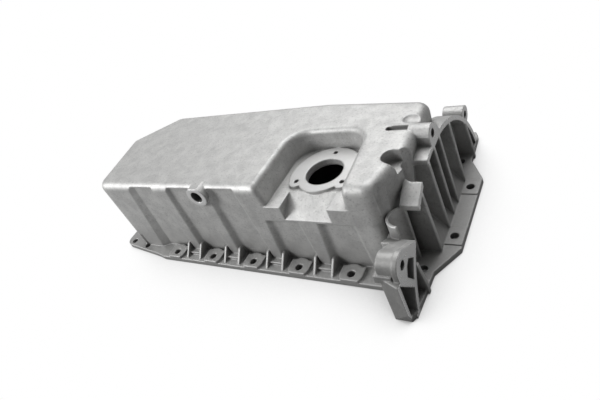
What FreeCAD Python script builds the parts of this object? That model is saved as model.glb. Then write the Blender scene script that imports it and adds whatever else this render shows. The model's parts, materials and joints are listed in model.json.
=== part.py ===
import FreeCAD, Part
import math
import os

from FreeCAD import Vector

# Engine oil pan, cast in one piece from aluminium.
# The part lies as it stands on a bench: block face down, sump bottom up.
# While it is modelled, X runs along the crankshaft with the gearbox at +X and
# zero at the middle bolt of the long sides, Y is zero on the crankshaft line,
# and Z is zero on the block face.

# Flange against the engine block
bolt_pitch = 62.0
side_bolt_y = 97.0
flange_thickness = 6.0
flange_edge = 8.0
bolt_hole = 8.5
pad_radius = 12.5
pad_back_y = 87.0
pad_height = 3.0
nose_bolts = [(-190.0, 91.0), (-222.0, 86.0)]
left_bolts = [(-226.0, 35.0)]
shoulder_bolt = (191.0, 78.5)
end_bolt = (210.0, 35.5)
end_pad_half = 11.0
end_pad_height = 1.0
flange_left = -237.0
nose_left = -235.0
nose_edge_y = 91.5
nose_start = -158.8
nose_run = 13.0
nose_step = 3.0
nose_corner = 12.0
flange_end = 219.5
flange_step = 203.0
shelf_y = 50.0
shoulder_y = 81.0

# Sump walls, given at the block face and at the sump bottom
sump_height = 112.0
wall = 4.5
front_low = 89.0
back_low = 83.5
left_corner = -202.0
left_apex = -224.4
apex_y = 19.4
chamfer_end = -152.7
back_bend = 60.0
back_end = 72.0
end_low = 174.0
end_corner = 166.0
end_corner_y = 62.0
front_lean = 2.0
corner_lean = -5.0
end_lean = -15.0
back_end_lean = 27.0
back_lean = 28.3
chamfer_lean = 10.0
left_lean = -3.0
top_round = 10.0
corner_round = 14.0

# Recesses in the front wall that clear the flange bolts
recess_half_low = 19.5
recess_half_high = 15.5
recess_first_low = 26.0
recess_y = 83.0
recess_flank = 1.0
recess_first_flank = 2.0
recess_high = 107.5
recess_low = 68.0
recess_round = 3.5
ridge_round = 7.0
ridge_ease = 0.2

# Gussets on the flange
gusset_offset = 20.5
gusset_thickness = 2.6
gusset_height = 19.0
gusset_foot_y = 102.0
gusset_toe = 0.6
strip_height = 9.5
strip_y = 95.5

# Pocket for the oil level sensor
pocket_left = 46.5
pocket_right = 137.0
pocket_right_front = 143.5
pocket_back = 3.0
pocket_floor = 87.0
pocket_draft_left = 5.5
pocket_draft_right = 3.5
pocket_draft_back = 1.5
pocket_centre_x = 97.5
sensor_angles = [90.0, 210.0, 330.0]
pocket_round = 24.0
pocket_rim = 6.0
sensor_y = -37.0
sensor_bore = 40.0
sensor_seat = 3.0
sensor_ring = 29.5
sensor_plate = 38.0
sensor_lobe = 8.5
sensor_screw_circle = 60.0
sensor_screw = 5.0
apron_left = 68.0
apron_right = 121.0
apron_start = 64.0
apron_slope = 0.68

# Drain boss in the front wall, over the second ridge
drain_x = -31.0
drain_z = 101.0
drain_radius = 12.5
drain_face = 92.0
drain_thread = 14.0
drain_depth = 22.0

# Gearbox end: an arched wall concentric with the crankshaft, with ribs
gearbox_face = 199.5
crank_z = -27.0
arch_radius = 123.0
arch_wall = 5.0
arch_back = 182.0
rib_thickness = 3.4
rib_foot = 6.0
rib_places = [-100.0, -54.0, -24.0, -4.5, 13.0, 45.0, 92.0]
ramp_top = 46.0
ramp_y = 46.0
ramp_root = 8.0
thread_core = 8.5
upper_thread_depth = 18.5
rear_thread_depth = 17.0
ear_thread_depth = 15.5
upper_boss_angle = 0.0
upper_boss_offset = 7.5
upper_boss_radius = 9.5
upper_boss_start = 162.0
upper_arm_half = 14.0
upper_arm_foot = 19.0
upper_arm_depth = 13.5
rear_boss_angle = 48.9
rear_boss_offset = 4.3
rear_boss_radius = 10.0
rear_boss_start = 178.0

# Slot and trough in the sump bottom beside the upper gearbox bolt
groove_depth = 4.0
trough_depth = 3.5
groove_half = 3.2
groove_y = -1.7
groove_ends = (160.0, 179.0)
trough_radius = 9.0
trough_y = 13.0
trough_ends = (176.0, 188.0)

# Front ear round the outer gearbox bolt
ear_boss_angle = -53.38
ear_boss_offset = 29.9
ear_boss_radius = 12.5
ear_neck_radius = 10.5
ear_face_depth = 5.0
ear_band = 5.5
ear_start_y = 88.7
ear_start_z = 57.0
ear_back = 180.0
ear_web = 4.0
ear_foot_y = 133.0
ear_wall_y = 141.5
ear_wall_top = 57.0
ear_wall = 4.5
ear_foot_x = 195.0
ear_foot_height = 22.0
ear_corner_height = 17.0
ear_lip_width = 16.0
ear_lip_height = 8.0
ear_lip_back = 176.5
ear_shoulder_run = 12.3
ear_shoulder_rise = 7.0
ear_shoulder_depth = 9.0

# Windows in the ear's face, given from the centre of its bolt
ear_window_high = [(21.7, -14.8), (11.7, -5.2), (6.5, -8.0), (1.0, -16.5), (10.7, -31.2), (26.7, -24.2)]
ear_window_low = [(-14.3, -8.7), (-12.0, -12.5), (6.7, -36.7), (6.7, -62.7), (-2.8, -61.7), (-14.3, -48.2)]

# Clearances for the gearbox bolts, cut from above
slot_radius = 11.0
slot_x = 186.0
slot_y = -78.0
slot_wall = 2.5
slot_post_height = 73.0
corner_scallop = 15.0
corner_scallop_y = -81.0
corner_scallop_z = 56.0
gap_x = 190.5
gap_y = -37.0
gap_radius = 10.5
gap_floor = 20.0
clear_reach = 3.0
scoop_radius = 9.5
scoop_x = 176.0
scoop_y = -43.0
scoop_floor = 99.0

# How far cutters run past what they cut, and parts into what carries them
past = 1.0
root_depth = 2.0


def off_arch(angle, offset):
    """Place (y, z) outside the arch, at an angle from upright round the crankshaft."""
    reach = arch_radius + offset
    turn = math.radians(angle)
    return reach * math.sin(turn), crank_z + reach * math.cos(turn)


def face_of(points):
    """Flat face inside a closed run of straight edges."""
    return Part.Face(Part.makePolygon(points + [points[0]]))


def level(points, z):
    """Plan points set at one height."""
    return [Vector(x, y, z) for x, y in points]


def slab(points, z_low, z_high):
    """Plan outline raised from one height to another."""
    return face_of(level(points, z_low)).extrude(Vector(0, 0, z_high - z_low))


def tapered(low_points, z_low, high_points, z_high):
    """Flat-sided solid between two outlines whose sides are parallel."""
    low = level(low_points, z_low)
    high = level(high_points, z_high)
    faces = [face_of(low[::-1]), face_of(high)]
    for index in range(len(low)):
        faces.append(face_of([low[index - 1], low[index], high[index], high[index - 1]]))
    return Part.makeSolid(Part.makeShell(faces))


def cross_slab(points, x_low, x_high):
    """Outline given as (y, z), carried along the crankshaft line."""
    outline = [Vector(x_low, y, z) for y, z in points]
    return face_of(outline).extrude(Vector(x_high - x_low, 0, 0))


def side_slab(points, y_low, y_high):
    """Outline given as (x, z), carried across the pan."""
    outline = [Vector(x, y_low, z) for x, z in points]
    return face_of(outline).extrude(Vector(0, y_high - y_low, 0))


def upright(radius, x, y, z_low, z_high):
    return Part.makeCylinder(radius, z_high - z_low, Vector(x, y, z_low))


def lengthwise(radius, y, z, x_low, x_high):
    return Part.makeCylinder(radius, x_high - x_low, Vector(x_low, y, z), Vector(1, 0, 0))


def middle(edge):
    return edge.valueAt((edge.FirstParameter + edge.LastParameter) / 2)


def rounded(shape, radius, chosen):
    """Shape with each edge whose middle point is chosen rounded."""
    edges = [edge for edge in shape.Edges if chosen(middle(edge), edge)]
    return shape.makeFillet(radius, edges)


def mirrored(points):
    return [(x, -y) for x, y in reversed(points)]


def pulled_in(corners, insets):
    """Polygon, given anticlockwise, with each side moved in by its own inset."""
    sides = []
    count = len(corners)
    for index in range(count):
        x0, y0 = corners[index]
        x1, y1 = corners[(index + 1) % count]
        length = math.hypot(x1 - x0, y1 - y0)
        normal = (-(y1 - y0) / length, (x1 - x0) / length)
        sides.append((normal, normal[0] * x0 + normal[1] * y0 + insets[index]))
    result = []
    for index in range(count):
        (a, b), p = sides[index - 1]
        (c, d), q = sides[index]
        det = a * d - b * c
        result.append(((p * d - b * q) / det, (a * q - p * c) / det))
    return result


def sump_block(inset, z_low, z_high):
    """Tapered body of the sump, or of the space inside its walls."""
    corners = [
        (left_corner, -front_low),
        (end_corner, -front_low),
        (end_low, -end_corner_y),
        (end_low, back_end),
        (back_bend, back_low),
        (chamfer_end, back_low),
        (left_apex, apex_y),
    ]
    leans = [front_lean, corner_lean, end_lean, back_end_lean, back_lean, chamfer_lean, left_lean]
    outlines = []
    for z in (z_low, z_high):
        outlines.append(pulled_in(corners, [inset + lean * z / sump_height for lean in leans]))
    return tapered(outlines[0], z_low, outlines[1], z_high)


def wall_y(z):
    """Front wall face at a height."""
    return -front_low + front_lean * z / sump_height


def soft_outline(corners, radii, z):
    """Closed outline at one height, given anticlockwise, with each corner rounded by its radius."""
    edges = []
    count = len(corners)
    spots = level(corners, z)
    ends = []
    for index in range(count):
        corner = spots[index]
        radius = radii[index]
        before = (spots[index - 1] - corner).normalize()
        after = (spots[(index + 1) % count] - corner).normalize()
        half = before.getAngle(after) / 2
        reach = radius / math.tan(half)
        inward = (before + after).normalize()
        bulge = corner + inward * (radius / math.sin(half) - radius)
        ends.append((corner + before * reach, bulge, corner + after * reach))
    for index in range(count):
        start, bulge, end = ends[index]
        if radii[index]:
            edges.append(Part.Arc(start, bulge, end).toShape())
        edges.append(Part.makeLine(end, ends[(index + 1) % count][0]))
    return Part.Wire(edges)


def recess(index, grow, crest_round):
    """Space taken out of the front wall at one flange bolt, beside ridges with a rounded crest."""
    x = side_bolts[index]
    inner = -recess_y + grow
    left_flank = recess_flank
    left_low = recess_half_low
    if index == 0:
        left_flank = recess_first_flank
        left_low = recess_first_low
    z_low = -1.0
    z_high = (recess_high if x < pocket_left else recess_low) + grow
    radii = [0.0, 0.0, crest_round, recess_round, recess_round, crest_round]
    outlines = []
    low_run = (z_low, left_low, recess_half_low)
    high_run = (z_high, recess_half_high, recess_half_high)
    for z, left, right in (low_run, high_run):
        left_x = x - left - grow
        right_x = x + right + grow
        mouth_y = wall_y(z)
        depth = inner - mouth_y
        mouth_left = left_x - left_flank * depth
        mouth_right = right_x + recess_flank * depth
        beyond = recess_half_low
        outer = mouth_y - ridge_ease * beyond
        corners = [
            (mouth_left - beyond, outer),
            (mouth_right + beyond, outer),
            (mouth_right, mouth_y),
            (right_x, inner),
            (left_x, inner),
            (mouth_left, mouth_y),
        ]
        outlines.append(soft_outline(corners, radii, z))
    return Part.makeLoft(outlines, True, True)


def pocket(grow):
    """Space of the sensor pocket, open to the front and to the sump bottom."""
    front = -front_low - 20.0
    low_z = pocket_floor - grow
    high_z = sump_height + 1.0
    corners = [
        (pocket_left, front),
        (pocket_right_front + 1.0, front),
        (pocket_right, pocket_back),
        (pocket_left, pocket_back),
    ]
    high = pulled_in(corners, [0.0, -grow, -grow, -grow])
    drafts = [0.0, pocket_draft_right, pocket_draft_back, pocket_draft_left]
    low = pulled_in(corners, [draft and draft - grow for draft in drafts])
    body = tapered(low, low_z, high, high_z)
    reach = pocket_back - pocket_round

    def back_corner(point, edge):
        return low_z + 1.0 < point.z < high_z - 1.0 and point.y > reach

    return rounded(body, pocket_round + grow, back_corner)


def apron(grow):
    """Sloping ramp cut from the sensor seat down to the front wall."""
    start = -apron_start
    end = -front_low - 12.0
    drop = apron_slope * (start - end)
    z = pocket_floor - grow
    top = pocket_floor + 3.0
    left = apron_left - grow
    right = apron_right + grow
    profile = [(start, z), (start, top), (end, top), (end, z - drop)]
    return cross_slab(profile, left, right)


def sump():
    """Sump walls and bottom as one solid block, before the hollow is taken out."""
    body = sump_block(0.0, 0.0, sump_height)
    body = rounded(body, corner_round, lambda p, e: 1 < p.z < sump_height - 1)
    body = body.cut(pocket(0.0))
    body = rounded(body, top_round, lambda p, e: p.z > sump_height - 0.1 and not in_pocket_rim(p))
    body = rounded(body, pocket_rim, lambda p, e: p.z > sump_height - 0.1 and in_pocket_rim(p))
    cuts = [recess(index, 0.0, ridge_round) for index in range(len(side_bolts))]
    return body.cut(cuts + [apron(0.0), scallop(0.0)])


def in_pocket_rim(point):
    across = pocket_left - 1.0 < point.x < pocket_right_front + 1.0
    return across and wall_y(sump_height) + 1.0 < point.y < pocket_back + 1.0


def scallop(grow):
    """Round bite in the corner of the sump behind the slot."""
    floor = corner_scallop_z - grow
    return upright(corner_scallop + grow, slot_x, corner_scallop_y, floor, sump_height + past)


def flange():
    """Plate against the block, with a nose at the left and a shelf at the gearbox."""
    edge = side_bolt_y + flange_edge
    front = [
        (flange_left, 0.0),
        (nose_left, -nose_edge_y),
        (nose_start, -edge + nose_step),
        (nose_start + nose_run, -edge),
        (ear_back - 4.0, -edge),
        (ear_back, -ear_foot_y),
        (gearbox_face - 3.5, -ear_foot_y),
        (gearbox_face, -ear_foot_y + 7.0),
        (gearbox_face + 2.0, -shoulder_y),
        (flange_end, -shelf_y),
    ]
    plate = slab(front + mirrored(front)[:-1], 0.0, flange_thickness)

    def nose_tip(point, edge):
        upright_edge = edge.Length < flange_thickness + past
        return upright_edge and point.x < nose_left + past and abs(point.y) > nose_edge_y / 2

    return rounded(plate, nose_corner, nose_tip)


def pad(x, y):
    """Raised round seat for one flange bolt head, trimmed to the flange edge."""
    top = flange_thickness + pad_height
    low_y, high_y = sorted((y, math.copysign(pad_back_y, y)))
    back = Part.makeBox(2 * pad_radius, high_y - low_y, top, Vector(x - pad_radius, low_y, 0))
    edge = side_bolt_y + flange_edge
    keep = Part.makeBox(2 * pad_radius, 2 * edge, top, Vector(x - pad_radius, -edge, 0))
    return upright(pad_radius, x, y, 0.0, top).fuse(back).common(keep)


def gusset(x, side):
    """Thin triangle that stands on the flange against the sump wall."""
    foot = recess_y - wall / 2
    profile = [
        (foot, 0.0),
        (gusset_foot_y, 0.0),
        (gusset_foot_y, flange_thickness + gusset_toe),
        (front_low, gusset_height),
        (foot, gusset_height),
    ]
    points = [(side * y, z) for y, z in profile]
    return cross_slab(points, x - gusset_thickness / 2, x + gusset_thickness / 2)


def strip(x, side):
    """Low step between the gussets of two neighbouring bolts."""
    half = bolt_pitch / 2 - gusset_offset
    low, high = sorted((side * strip_y, side * recess_y))
    return Part.makeBox(2 * half, high - low, strip_height, Vector(x - half, low, 0.0))


def arch(back, low_y, high_y):
    """Arched wall that meets the gearbox, between two places across the pan."""
    outer = lengthwise(arch_radius, 0.0, crank_z, back, gearbox_face)
    inner = lengthwise(arch_radius - arch_wall, 0.0, crank_z, back - 1.0, gearbox_face + 1.0)
    keep = Part.makeBox(gearbox_face - back, high_y - low_y, arch_radius, Vector(back, low_y, 0.0))
    return outer.cut(inner).common(keep)


def arch_z(y):
    return crank_z + math.sqrt(arch_radius ** 2 - y ** 2)


def rib(y):
    """Upright rib between the end wall, the arch and the flange."""
    top = arch_z(abs(y) + rib_thickness / 2) - arch_wall / 2
    root = end_low - 6.0 if abs(y) < back_end - 5.0 else arch_back
    low = flange_thickness + rib_foot
    points = [(root, 1.0), (flange_step, 1.0), (flange_step, low), (gearbox_face, top), (root, top)]
    return side_slab(points, y - rib_thickness / 2, y + rib_thickness / 2)


def ramp(inset):
    """Sloping foot of the end wall between the ribs, or the hollow behind it."""
    slope = (ramp_top - flange_thickness) / (flange_step - end_low)
    drop = inset * math.hypot(1.0, slope) - inset
    start = end_low - ramp_root
    toe = flange_step - inset
    profile = [
        (start, -inset),
        (toe, -inset),
        (toe, flange_thickness - drop),
        (start, ramp_top - drop + slope * ramp_root),
    ]
    half = ramp_y - inset
    return side_slab(profile, -shelf_y + inset, half)


def boss(place, radius, x_low, x_high):
    """Round boss along the pan for one gearbox bolt."""
    return lengthwise(radius, place[0], place[1], x_low, x_high)


def ear():
    """Front ear: boss, saddle, windowed face and outer wall round one bolt."""
    y, z = ear_boss
    start = (-ear_start_y, ear_start_z)
    outer_y = -ear_wall_y
    ring_x = gearbox_face - ear_face_depth
    block = []
    rings = [(ear_neck_radius, ear_back, ring_x), (ear_boss_radius, ring_x, gearbox_face)]
    for radius, x_low, x_high in rings:
        outline = [
            (-ear_start_y + 4.0, ear_start_z + 2.0),
            start,
            (y + 0.45 * radius, z + 0.89 * radius),
            (y - 0.45 * radius, z + 0.89 * radius),
            (y - radius, z),
            (y - radius, ear_wall_top),
            (outer_y, ear_wall_top),
            (outer_y, 0.0),
            (-ear_start_y + 4.0, 0.0),
        ]
        block.append(cross_slab(outline, x_low, x_high))
        block.append(boss(ear_boss, radius, x_low, x_high))
    body = block[0].fuse(block[1:])

    def flared(inset, x_low, x_high):
        foot = -ear_foot_y + inset
        edge = -ear_wall_y + inset
        plan = [(x_low, 0.0), (x_low, foot), (ear_back, foot)]
        plan += [(gearbox_face, edge), (x_high, edge), (x_high, 0.0)]
        return slab(plan, 0.0, 2 * sump_height)

    body = body.common(flared(0.0, ear_back - 1.0, gearbox_face))
    front_x = ear_back + ear_web
    room = flared(ear_wall, front_x, gearbox_face + 1.0)
    room = room.cut(lengthwise(arch_radius + ear_band, 0.0, crank_z, ear_back, gearbox_face + 2.0))
    cuts = []
    for window in (ear_window_high, ear_window_low):
        outline = [(y + across, z + up) for across, up in window]
        cuts.append(cross_slab(outline, front_x, gearbox_face + 1.0).common(room))
    cuts.append(lengthwise(arch_radius, 0.0, crank_z, front_x, gearbox_face + 1.0))
    beyond = gearbox_face + past
    corner = [(ear_foot_x, -past), (beyond, ear_corner_height), (beyond, -past)]
    cuts.append(side_slab(corner, outer_y - past, -ear_foot_y + ear_wall))
    foot = [(-ear_foot_y, 0.0), (outer_y, ear_foot_height), (outer_y - past, -past), (-ear_foot_y, -past)]
    cuts.append(cross_slab(foot, ear_back - 1.0, gearbox_face + 1.0))
    body = body.cut(cuts)
    inner = -ear_start_y + 5.0
    outer = -ear_start_y - ear_shoulder_run
    shoulder = [
        (inner, ear_start_z - ear_shoulder_depth - 4.0),
        (inner, ear_start_z),
        start,
        (outer, ear_start_z + ear_shoulder_rise),
        (outer, ear_start_z - ear_shoulder_depth),
    ]
    lip_length = ring_x - root_depth - ear_lip_back
    lip_place = Vector(ear_lip_back, -ear_foot_y - root_depth, ear_wall_top - ear_lip_height / 2)
    lip = Part.makeBox(lip_length, ear_lip_width, ear_lip_height, lip_place)
    return [body, cross_slab(shoulder, ear_back - 7.0, ear_back + 2.0), lip]


def rear_ear():
    """Rear ear: the arch with a bolt boss on its outer side, closed behind."""
    head = boss(rear_boss, rear_boss_radius, rear_boss_start, gearbox_face)
    outer = lengthwise(arch_radius, 0.0, crank_z, arch_back - 1.0, arch_back + 3.0)
    keep = Part.makeBox(10.0, arch_radius, arch_radius, Vector(arch_back - 2.0, back_end - 30.0, 0.0))
    return [head, outer.common(keep)]


def upper_arm():
    """Arm in line with the sump bottom that carries the upper gearbox bolt."""
    y, z = upper_boss
    reach = upper_boss_radius
    top = z + reach - 1.0
    foot = z - upper_arm_depth
    outline = [
        (y - reach, z),
        (y - reach, z + 2.0),
        (y - 4.0, top),
        (y + 4.0, top),
        (y + upper_arm_half, z),
        (y + upper_arm_foot, foot),
        (y - reach, foot),
    ]
    head = boss(upper_boss, reach, upper_boss_start, gearbox_face)
    return [head, cross_slab(outline, end_low, gearbox_face)]


def gearbox_end():
    pieces = [arch(arch_back, -ear_start_y, arch_radius)]
    pieces += [rib(y) for y in rib_places]
    pieces += ear()
    pieces += rear_ear()
    pieces += upper_arm()
    pieces.append(ramp(0.0))
    reach = slot_radius + slot_wall
    collar = upright(reach, slot_x, slot_y, 0.0, slot_post_height)
    corner = Vector(slot_x - reach, slot_y - reach, 0.0)
    pieces.append(collar.common(Part.makeBox(reach, 2 * reach, slot_post_height, corner)))
    back = end_low - root_depth
    root = [(slot_x, slot_y - reach), (slot_x, slot_y + reach), (back, slot_y + reach), (back, slot_y - slot_radius)]
    pieces.append(slab(root, 0.0, corner_scallop_z))
    return pieces


def clearance(grow):
    """Spaces cut from above past the arch for the tools of the gearbox bolts."""
    high = sump_height + past
    low = flange_thickness - grow
    beyond = gearbox_face + clear_reach
    runs = [
        (slot_radius, slot_x, slot_y, low, beyond),
        (gap_radius, gap_x, gap_y, low + gap_floor, beyond),
        (scoop_radius, scoop_x, scoop_y, scoop_floor - grow, gap_x),
    ]
    cuts = []
    for radius, x, y, z, end in runs:
        reach = radius + grow
        cuts.append(upright(reach, x, y, z, high))
        cuts.append(Part.makeBox(end - x, 2 * reach, high - z, Vector(x, y - reach, z)))
    return cuts


def grooves():
    """Slot and shallow trough in the sump bottom beside the upper arm."""
    left, right = groove_ends
    floor = sump_height - groove_depth
    corner = Vector(left, groove_y - groove_half, floor)
    slot = [Part.makeBox(right - left, 2 * groove_half, groove_depth + past, corner)]
    slot.append(upright(groove_half, left, groove_y, floor, sump_height + past))
    left, right = trough_ends
    centre_z = sump_height + trough_radius - trough_depth
    trough = [lengthwise(trough_radius, trough_y, centre_z, left, right)]
    trough += [Part.makeSphere(trough_radius, Vector(x, trough_y, centre_z)) for x in trough_ends]
    return slot + trough


def inward(radius, x, z, y_front, depth):
    """Cylinder that runs from the front of the pan into it."""
    return Part.makeCylinder(radius, depth, Vector(x, -y_front, z), Vector(0, 1, 0))


def drain_boss():
    """Round boss for the drain plug, level with the sump bottom."""
    body = inward(drain_radius, drain_x, drain_z, drain_face, drain_depth)
    reach = 2 * drain_radius
    keep = Part.makeBox(2 * reach, 2 * reach, sump_height, Vector(drain_x - reach, -drain_face, 0.0))
    return body.common(keep)


def sensor_seat_ring():
    """Flat ring with three lobes on the pocket floor."""
    top = pocket_floor + sensor_seat
    low = pocket_floor - wall
    plate = upright(sensor_plate, pocket_centre_x, sensor_y, low, top)
    reach = sensor_plate
    low_y = sensor_y - sensor_screw_circle / 4
    back = Part.makeBox(2 * reach, 2 * reach, top - low, Vector(pocket_centre_x - reach, low_y, low))
    pieces = [plate.common(back), upright(sensor_ring, pocket_centre_x, sensor_y, low, top)]
    for x, y in sensor_screws():
        pieces.append(upright(sensor_lobe, x, y, low, top))
    return pieces


def sensor_screws():
    places = []
    for angle in sensor_angles:
        turn = math.radians(angle)
        reach = sensor_screw_circle / 2
        places.append((pocket_centre_x + reach * math.cos(turn), sensor_y + reach * math.sin(turn)))
    return places


def hollow():
    """Space for the oil inside the walls, open at the block face."""
    space = sump_block(wall, -1.0, sump_height - wall)
    space = rounded(space, corner_round - wall, lambda p, e: 1 < p.z < sump_height - wall - 1)
    space = space.fuse(ramp(wall))
    lumps = [pocket(wall), apron(wall), scallop(wall)] + clearance(wall)
    corner = Vector(groove_ends[0], groove_y - groove_half, sump_height - groove_depth)
    corner -= Vector(groove_half + wall, wall, wall)
    across = trough_y + trough_radius + wall - corner.y
    lumps.append(Part.makeBox(gearbox_face - corner.x, across, wall + groove_depth, corner))
    lumps += [recess(index, wall, 0.0) for index in range(len(side_bolts))]
    lumps.append(inward(drain_radius - wall / 2, drain_x, drain_z, drain_face, drain_depth))
    back = gearbox_face - upper_thread_depth - 2 * wall
    for place, radius in ((upper_boss, upper_boss_radius), (rear_boss, rear_boss_radius)):
        lumps.append(boss(place, radius + wall / 2, back, gearbox_face))
    return space.cut(lumps)


def holes():
    """All the bolt holes, threads and bores."""
    cuts = []
    places = [(x, side * side_bolt_y) for x in side_bolts for side in (-1, 1)]
    for x, y in nose_bolts + left_bolts + [shoulder_bolt, end_bolt]:
        places += [(x, -y), (x, y)]
    for x, y in places:
        cuts.append(upright(bolt_hole / 2, x, y, -1.0, flange_thickness + gusset_height))
    threads = [
        (upper_boss, upper_thread_depth),
        (rear_boss, rear_thread_depth),
        (ear_boss, ear_thread_depth),
    ]
    for place, depth in threads:
        cuts.append(boss(place, thread_core / 2, gearbox_face - depth, gearbox_face + 1.0))
    cuts.append(inward(drain_thread / 2, drain_x, drain_z, drain_face + past, drain_depth + 2 * past))
    under = pocket_floor - wall - past
    cuts.append(upright(sensor_bore / 2, pocket_centre_x, sensor_y, under, sump_height))
    for x, y in sensor_screws():
        cuts.append(upright(sensor_screw / 2, x, y, under, sump_height))
    return cuts


side_bolts = [bolt_pitch * step for step in (-2, -1, 0, 1, 2)]
upper_boss = off_arch(upper_boss_angle, upper_boss_offset)
rear_boss = off_arch(rear_boss_angle, rear_boss_offset)
ear_boss = off_arch(ear_boss_angle, ear_boss_offset)

shapes = [sump(), flange()]
for side in (-1, 1):
    for x in side_bolts:
        shapes.append(pad(x, side * side_bolt_y))
    for x in side_bolts[:-1]:
        shapes.append(gusset(x + gusset_offset, side))
        shapes.append(strip(x + bolt_pitch / 2, side))
        shapes.append(gusset(x + bolt_pitch - gusset_offset, side))
for side in (-1, 1):
    corner = Vector(flange_step, side * end_bolt[1] - end_pad_half, 0.0)
    top = flange_thickness + end_pad_height
    shapes.append(Part.makeBox(flange_end - flange_step, 2 * end_pad_half, top, corner))
shapes += gearbox_end()
shapes.append(drain_boss())
pan = shapes[0].fuse(shapes[1:] + sensor_seat_ring())
pan = pan.cut(clearance(0.0) + grooves())
pan = pan.cut(hollow())
pan = pan.cut(holes())
pan = pan.removeSplitter()

# The part's own origin is under the middle of its outline, on the block face.
middle_x = (flange_left + flange_end) / 2
middle_y = (ear_foot_y - ear_wall_y) / 2
pan.translate(Vector(-middle_x, -middle_y, 0.0))

os.makedirs("parts", exist_ok=True)
pan.exportStep("parts/oil_pan_casting.step")
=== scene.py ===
import json
import math

import bpy
from mathutils import Matrix, Vector

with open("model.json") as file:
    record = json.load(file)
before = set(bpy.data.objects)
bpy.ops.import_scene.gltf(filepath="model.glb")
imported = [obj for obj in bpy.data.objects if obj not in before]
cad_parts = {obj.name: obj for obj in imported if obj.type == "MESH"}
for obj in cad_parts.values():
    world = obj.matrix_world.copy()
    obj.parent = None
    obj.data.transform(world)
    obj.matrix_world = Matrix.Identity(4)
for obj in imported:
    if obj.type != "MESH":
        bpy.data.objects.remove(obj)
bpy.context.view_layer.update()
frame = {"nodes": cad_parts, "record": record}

# The pan: one pressure casting in aluminium, shot blasted after the die, so that its skin is matt,
# grey and slightly mottled, with a fine grain, and with edges painted brighter: wear and painted
# highlight.
# It sits on the block by its flange, so it is shown as it lies on a bench, sump upwards.
millimetre = 0.001
cast_pale = (0.69, 0.69, 0.68)
cast_dull = (0.54, 0.54, 0.535)
skin_grain = 0.7 * millimetre
skin_pits = 2.2 * millimetre
skin_mottle = 16 * millimetre
edge_round = 2.2 * millimetre
edge_turn = (0.995, 0.93)
edge_wear_and_highlight_share = 0.6
cloud_share = 0.72
cloud_span = (0.34, 0.66)
cloud_relief = 0.4
cloud_gloss = 0.12
pit_relief = 0.5
skin_metal = 0.6
skin_rough = 0.62


class Shade:
    """A socket in a finish's node tree, worked on with ordinary arithmetic."""

    def __init__(self, tree, socket=None):
        self.tree = tree
        self.socket = socket

    def node(self, kind, settings, sockets, output=0):
        """A new node: its settings first, then the values or links of its sockets."""
        made = self.tree.nodes.new(kind)
        for name, value in settings.items():
            if name == "stops":
                ramp = made.color_ramp.elements
                while len(ramp) < len(value):
                    ramp.new(0.5)
                for stop, (where, level) in zip(ramp, value):
                    stop.position = where
                    stop.color = (level, level, level, 1.0)
            else:
                setattr(made, name, value)
        for name, value in sockets.items():
            if isinstance(value, Shade):
                self.tree.links.new(value.socket, made.inputs[name])
            else:
                made.inputs[name].default_value = value
        return Shade(self.tree, None if output is None else made.outputs[output])

    def maths(self, operation, *values):
        return self.node("ShaderNodeMath", {"operation": operation}, dict(enumerate(values)))

    def __add__(self, other):
        return self.maths("ADD", self, other)

    def __radd__(self, other):
        return self.maths("ADD", other, self)

    def __sub__(self, other):
        return self.maths("SUBTRACT", self, other)

    def __rsub__(self, other):
        return self.maths("SUBTRACT", other, self)

    def __mul__(self, other):
        return self.maths("MULTIPLY", self, other)

    def __rmul__(self, other):
        return self.maths("MULTIPLY", other, self)

    def ramped(self, low, high):
        """Zero below low, one above high, smooth between; low may be the higher one."""
        ends = {"Value": self, "From Min": low, "From Max": high}
        return self.node("ShaderNodeMapRange", {"interpolation_type": "SMOOTHSTEP"}, ends)

    def mixed(self, bare, over):
        """Colour that goes from bare to over as this value goes from zero to one."""
        sockets = {"Factor": self}
        for name, colour in ((6, bare), (7, over)):
            sockets[name] = colour if isinstance(colour, Shade) else (*colour, 1.0)
        return self.node("ShaderNodeMix", {"data_type": "RGBA"}, sockets, 2)


casting = frame["nodes"]["oil_pan_casting"]
finish = bpy.data.materials.new("cast_aluminium_blasted")
finish.use_nodes = True
finish.node_tree.nodes.clear()
skin = Shade(finish.node_tree)
place = skin.node("ShaderNodeTexCoord", {}, {}, "Object")
facing = skin.node("ShaderNodeNewGeometry", {}, {}, "True Normal")
spot = [skin.node("ShaderNodeSeparateXYZ", {}, {"Vector": place}, axis) for axis in "XYZ"]
turned = [skin.node("ShaderNodeSeparateXYZ", {}, {"Vector": facing}, axis) for axis in "XYZ"]

mottle = skin.node(
    "ShaderNodeTexNoise",
    {},
    {"Vector": place, "Scale": 1 / skin_mottle, "Detail": 6.0, "Roughness": 0.62, "Distortion": 0.4},
)
grain = skin.node(
    "ShaderNodeTexNoise",
    {},
    {"Vector": place, "Scale": 1 / skin_grain, "Detail": 2.0, "Roughness": 0.5},
)
pits = skin.node(
    "ShaderNodeTexNoise",
    {},
    {"Vector": place, "Scale": 1 / skin_pits, "Detail": 3.0, "Roughness": 0.7},
)
pitted = skin.node(
    "ShaderNodeValToRGB",
    {"stops": [(0.0, 1.0), (0.33, 0.8), (0.43, 0.0)]},
    {"Fac": pits},
)
rounded = skin.node("ShaderNodeBevel", {"samples": 6}, {"Radius": edge_round})
alike = skin.node("ShaderNodeVectorMath", {"operation": "DOT_PRODUCT"}, {0: rounded, 1: facing}, "Value")
edge_wear_and_highlight = alike.ramped(*edge_turn)
cloud = mottle * cloud_share + pits * (1 - cloud_share)
bare = cloud.ramped(*cloud_span).mixed(cast_dull, cast_pale)
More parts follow.
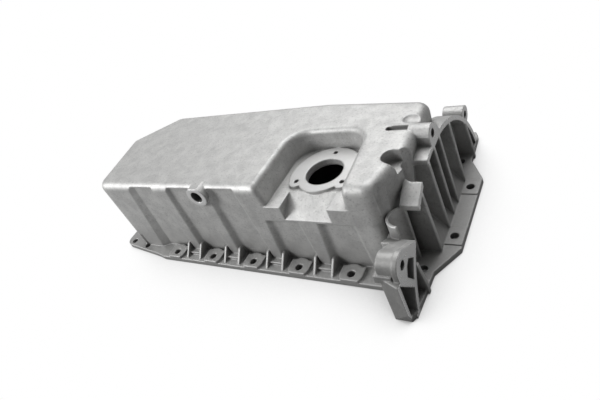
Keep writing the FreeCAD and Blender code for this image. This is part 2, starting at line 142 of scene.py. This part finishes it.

# The machined faces: the block face, the gearbox face, the sensor's seat and the drain boss are
# milled flat after casting, so they are brighter and smoother, with the cutter's fine rings.
# The seat is painted greyer than the others, as painted shade.
machined_pale = (0.86, 0.86, 0.855)
seat_painted_shade = (0.58, 0.58, 0.575)
cutter_pitch = 0.7 * millimetre
cutter_scale = 0.314
face_depth = 0.15 * millimetre
face_turn = (0.9, 0.98)
drain_turn = (0.98, 0.995)
milled_flat = 0.9
milled_smooth = 0.12
ring_relief = 0.3
gearbox_smooth = 0.16
gearbox_metal = 0.3
drain_reach = 13 * millimetre
mounts = {mount["name"]: mount for mount in frame["record"]["mounts"]}


def disc(mount, across, radius):
    """One inside a circle round a mount, seen along its axis."""
    centre = mounts[mount]["pos_m"]
    first, second = across
    aside = spot[first] - centre[first]
    along = spot[second] - centre[second]
    away = skin.maths("SQRT", aside * aside + along * along)
    return away.ramped(radius + face_depth, radius - face_depth)


def at_level(axis, level, sign):
    """One on the flat faces that lie at a level and face one way."""
    near = skin.maths("ABSOLUTE", spot[axis] - level).ramped(2 * face_depth, face_depth)
    return near * (turned[axis] * sign).ramped(*face_turn)


gearbox_face = at_level(0, mounts["gearbox_face"]["pos_m"][0], 1.0)
block_face = at_level(2, 0.0, -1.0)
sensor_face = at_level(2, mounts["sensor_seat"]["pos_m"][2], 1.0)
drain_face = (turned[1] * -1.0).ramped(*drain_turn) * disc("drain_thread", (0, 2), drain_reach)
machined = skin.maths("MAXIMUM", gearbox_face + block_face + sensor_face, drain_face)
rings = skin.node(
    "ShaderNodeTexWave",
    {"wave_type": "RINGS", "rings_direction": "Z"},
    {"Vector": place, "Scale": cutter_scale / cutter_pitch, "Distortion": 0.3, "Detail": 1.0},
)
# The seat's greyer colour is painted shade.
milled = sensor_face.mixed(machined_pale, seat_painted_shade)
# The edges are painted in the milled colour, partly as wear and partly as a painted highlight.
milled_and_highlit = skin.maths("MAXIMUM", machined, edge_wear_and_highlight * edge_wear_and_highlight_share).mixed(bare, milled)

# The threads: cut by tap in the three gearbox bosses and the drain boss, as fine bright turns.
# The bores themselves are painted dark inside, as painted shade in the holes.
thread_pitch = 1.5 * millimetre
bore_painted_shade = (0.17, 0.17, 0.165)
turn_depth = 0.5 * millimetre
turn_relief = 3.0
bore_shade_cover = 0.7
holes = [
    ("upper_gearbox_thread", 0, (1, 2)),
    ("rear_gearbox_thread", 0, (1, 2)),
    ("front_gearbox_thread", 0, (1, 2)),
    ("drain_thread", 1, (0, 2)),
]
threaded = 0.0
turns = 0.0
for mount, axis, across in holes:
    centre = mounts[mount]["pos_m"]
    radius = mounts[mount]["dims"]["r_mm"] * millimetre
    length = mounts[mount]["dims"]["length_mm"] * millimetre
    depth = skin.maths("ABSOLUTE", spot[axis] - centre[axis])
    inside = disc(mount, across, radius + turn_depth) * depth.ramped(length / 2, length / 2 - turn_depth)
    first, second = across
    swing = skin.maths("ARCTAN2", spot[first] - centre[first], spot[second] - centre[second])
    climb = spot[axis] * (1 / thread_pitch) + swing * (1 / (2 * math.pi))
    turns = turns + inside * skin.maths("PINGPONG", climb, 0.5)
    threaded = threaded + inside
# Inside the threaded bores the colour is painted dark: painted shade.
bore_shaded = (threaded * bore_shade_cover).mixed(milled_and_highlit, bore_painted_shade)

# The dirt and painted shade: the corners between the gussets and ribs and the creases are painted
# darker by ambient occlusion, and the skin low down round the flange and on the ear is painted darker,
# all as painted shade; a little dark blasting dust stays in the pits. None of it stays on the milled
# faces.
grime_and_painted_shade = (0.10, 0.098, 0.095)
corner_reach = 26 * millimetre
crease_reach = 8 * millimetre
shade_height = 55 * millimetre
flange_edge = 9.25 * millimetre
corner_span = (0.75, 0.15)
crease_span = (0.95, 0.5)
corner_cover = 0.75
crease_cover = 0.5
low_shade_cover = 0.65
ear_shade_cover = 0.3
ear_shade_fleck = 0.5
pit_cover = 0.3
dirt_rough = 0.15
bump_height = 0.12 * millimetre
bump_strength = 0.55
side_screws = mounts["side_bolts_middle"]
front_row = side_screws["pos_m"][1] - side_screws["dims"]["spacing_y_mm"] * millimetre / 2
ear_start = front_row - flange_edge
# Sheltered corners and creases are painted dark from ambient occlusion below: painted shade.
shelter = skin.node("ShaderNodeAmbientOcclusion", {"samples": 6}, {"Distance": corner_reach}, "AO")
corner_shade = shelter.ramped(*corner_span)
crease = skin.node("ShaderNodeAmbientOcclusion", {"samples": 6}, {"Distance": crease_reach}, "AO")
crease_shade = crease.ramped(*crease_span) * crease_cover
# The skin is painted darker towards the flange, mottled: painted shade.
low_shade = spot[2].ramped(shade_height, 0.0) * mottle * low_shade_cover
# The ear is painted darker, flecked by the pits: painted shade.
past_flange = spot[1].ramped(ear_start, ear_start - shade_height / 2)
ear_shade = past_flange * (ear_shade_cover + pits * ear_shade_fleck)
dust_and_shade = corner_shade * corner_cover
for layer in (low_shade, ear_shade, crease_shade, pitted * pit_cover):
    dust_and_shade = skin.maths("MAXIMUM", dust_and_shade, layer)
unmilled_dust_and_shade = dust_and_shade * (1 - machined)
# The grime colour carries both the painted shade and the dust in the pits.
dust_and_shade_colour = unmilled_dust_and_shade.mixed(bore_shaded, grime_and_painted_shade)
cast_relief = grain * (1 - machined * milled_flat) + mottle * cloud_relief - pitted * pit_relief
relief = cast_relief + rings * machined * ring_relief + turns * turn_relief
bumped = skin.node(
    "ShaderNodeBump",
    {},
    {"Height": relief, "Strength": bump_strength, "Distance": bump_height, "Normal": rounded},
)
matt = skin_rough - mottle * cloud_gloss + corner_shade * dirt_rough
roughness = matt - machined * milled_smooth - gearbox_face * gearbox_smooth
metallic = skin_metal + gearbox_face * gearbox_metal
metal = skin.node(
    "ShaderNodeBsdfPrincipled",
    {},
    {"Base Color": dust_and_shade_colour, "Metallic": metallic, "Roughness": roughness, "Normal": bumped},
)
skin.node("ShaderNodeOutputMaterial", {}, {"Surface": metal}, None)
casting.material_slots[0].material = finish

# The studio: a wide sheet of white paper under the pan, a large soft lamp above and behind it, a
# weaker one at its left, and an even white surround, as in a shop's cut-out picture.
# The metal mirrors the white only dimly, because in the shop's picture it stood in a darker room.
floor_reach = 30.0
paper_white = 0.25
shelter_reach = 0.25
painted_shadow_span = (0.1, 0.8)
mirror_share = 0.2
room_glow = 0.03
bpy.ops.mesh.primitive_plane_add(size=2 * floor_reach)
floor = bpy.context.object
floor.name = "studio_floor"
paper = bpy.data.materials.new("white_paper")
paper.use_nodes = True
paper.node_tree.nodes.clear()
card = Shade(paper.node_tree)
white = (1.0, 1.0, 1.0, 1.0)


def shown(shade):
    """One where the eye or clear glass looks at the background, and less where metal mirrors it."""
    looked_at = shade.node("ShaderNodeLightPath", {}, {}, "Is Camera Ray")
    mirrored = shade.node("ShaderNodeLightPath", {}, {}, "Is Glossy Ray")
    through = shade.node("ShaderNodeLightPath", {}, {}, "Is Transmission Ray")
    return shade.maths("MAXIMUM", shade.maths("MAXIMUM", looked_at, through), mirrored * mirror_share)


# Round and under the pan the floor's white glow is faded out by ambient occlusion, a painted contact
# shadow.
floor_shelter = card.node("ShaderNodeAmbientOcclusion", {"samples": 16}, {"Distance": shelter_reach}, "AO")
glow_beyond_painted_shadow = shown(card) * floor_shelter.ramped(*painted_shadow_span)
sheet = card.node("ShaderNodeBsdfDiffuse", {}, {"Color": (paper_white, paper_white, paper_white, 1.0)})
lit = card.node("ShaderNodeEmission", {}, {"Color": white, "Strength": 1.0})
both = card.node("ShaderNodeMixShader", {}, {0: glow_beyond_painted_shadow, 1: sheet, 2: lit})
card.node("ShaderNodeOutputMaterial", {}, {"Surface": both}, None)
floor.data.materials.append(paper)

surround = bpy.data.worlds.new("surround")
surround.use_nodes = True
bpy.context.scene.world = surround
sky = Shade(surround.node_tree)
surround.node_tree.nodes.clear()
strength = sky.maths("MAXIMUM", shown(sky), room_glow)
even = sky.node("ShaderNodeBackground", {}, {"Color": white, "Strength": strength})
sky.node("ShaderNodeOutputWorld", {}, {"Surface": even}, None)

lamp_aim = Vector((0, 0, 0.05))
lamps = {
    "key_lamp": ((-0.05, 0.75, 1.5), 1.6, 22.0),
    "fill_lamp": ((-1.2, -1.1, 1.0), 0.7, 23.0),
}
for name, (stands_at, size, power) in lamps.items():
    lamp = bpy.data.lights.new(name, "AREA")
    lamp.size = size
    lamp.energy = power
    stand = bpy.data.objects.new(name, lamp)
    stand.location = stands_at
    stand.rotation_euler = (lamp_aim - Vector(stands_at)).to_track_quat("-Z", "Y").to_euler()
    bpy.context.collection.objects.link(stand)

# The camera: a wide lens close to the pan's gearbox end, held tilted, as the photograph was taken.
# Its place, turn and lens were worked out from the places of the flange's screw holes in it.
camera_place = Vector((0.35426, -0.34584, 0.35406))
heading = math.radians(43.32)
pitch = math.radians(35.31)
roll = math.radians(-26.60)
lens = bpy.data.cameras.new("photo_camera")
lens.sensor_width = 36.0
lens.lens = 28.94
camera = bpy.data.objects.new("photo_camera", lens)
aim = Matrix.Rotation(heading, 4, "Z") @ Matrix.Rotation(math.pi / 2 - pitch, 4, "X")
camera.matrix_world = Matrix.Translation(camera_place) @ aim @ Matrix.Rotation(roll, 4, "Z")
bpy.context.collection.objects.link(camera)
bpy.context.scene.camera = camera
bpy.context.scene.view_settings.view_transform = "Standard"
